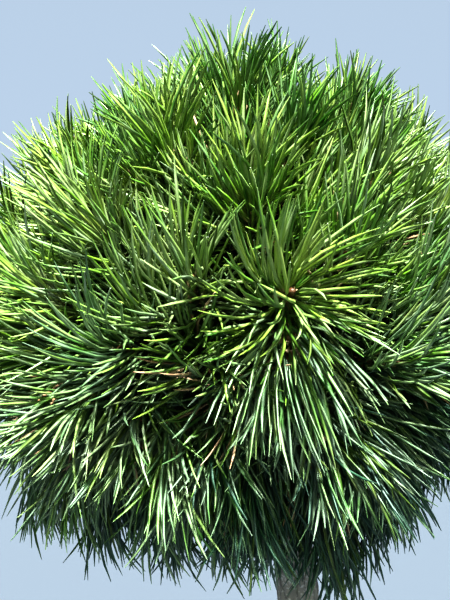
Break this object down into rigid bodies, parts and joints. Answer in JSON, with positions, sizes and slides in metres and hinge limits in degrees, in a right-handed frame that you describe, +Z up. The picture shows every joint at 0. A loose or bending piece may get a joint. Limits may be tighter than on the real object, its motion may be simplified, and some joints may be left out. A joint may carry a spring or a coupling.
{
  "type": "mugo pine",
  "caption": "Mugo pine grown as a small standard: a clear upright trunk rooted in the ground under a dense ball of long stiff needles.",
  "frame": {"origin": "middle of the flat cut under the trunk, at ground level", "axes": "+Z up along the trunk, -Y to the front, +X to the right seen from the front"},
  "size_m": [0.3737, 0.3828, 0.9753],
  "materials": {
    "bark": "rough grey-brown bark",
    "bough_bark": "scaly brown bark",
    "needles": "waxy green needles"
  },
  "bodies": {
    "root": {"trunk": "bark", "bough_upper_1": "bough_bark", "bough_upper_2": "bough_bark", "bough_upper_3": "bough_bark", "bough_upper_4": "bough_bark", "bough_upper_5": "bough_bark", "bough_middle_1": "bough_bark", "bough_middle_2": "bough_bark", "bough_middle_3": "bough_bark", "bough_middle_4": "bough_bark", "bough_middle_5": "bough_bark", "bough_middle_6": "bough_bark", "bough_middle_7": "bough_bark", "bough_middle_8": "bough_bark", "bough_lower_1": "bough_bark", "bough_lower_2": "bough_bark", "bough_lower_3": "bough_bark", "bough_lower_4": "bough_bark", "bough_lower_5": "bough_bark", "bough_lower_6": "bough_bark", "bough_lower_7": "bough_bark", "foliage_top": "needles", "foliage_upper_1": "needles", "foliage_upper_2": "needles", "foliage_upper_3": "needles", "foliage_upper_4": "needles", "foliage_upper_5": "needles", "foliage_middle_1": "needles", "foliage_middle_2": "needles", "foliage_middle_3": "needles", "foliage_middle_4": "needles", "foliage_middle_5": "needles", "foliage_middle_6": "needles", "foliage_middle_7": "needles", "foliage_middle_8": "needles", "foliage_lower_1": "needles", "foliage_lower_2": "needles", "foliage_lower_3": "needles", "foliage_lower_4": "needles", "foliage_lower_5": "needles", "foliage_lower_6": "needles", "foliage_lower_7": "needles"}
  },
  "joints": []
}
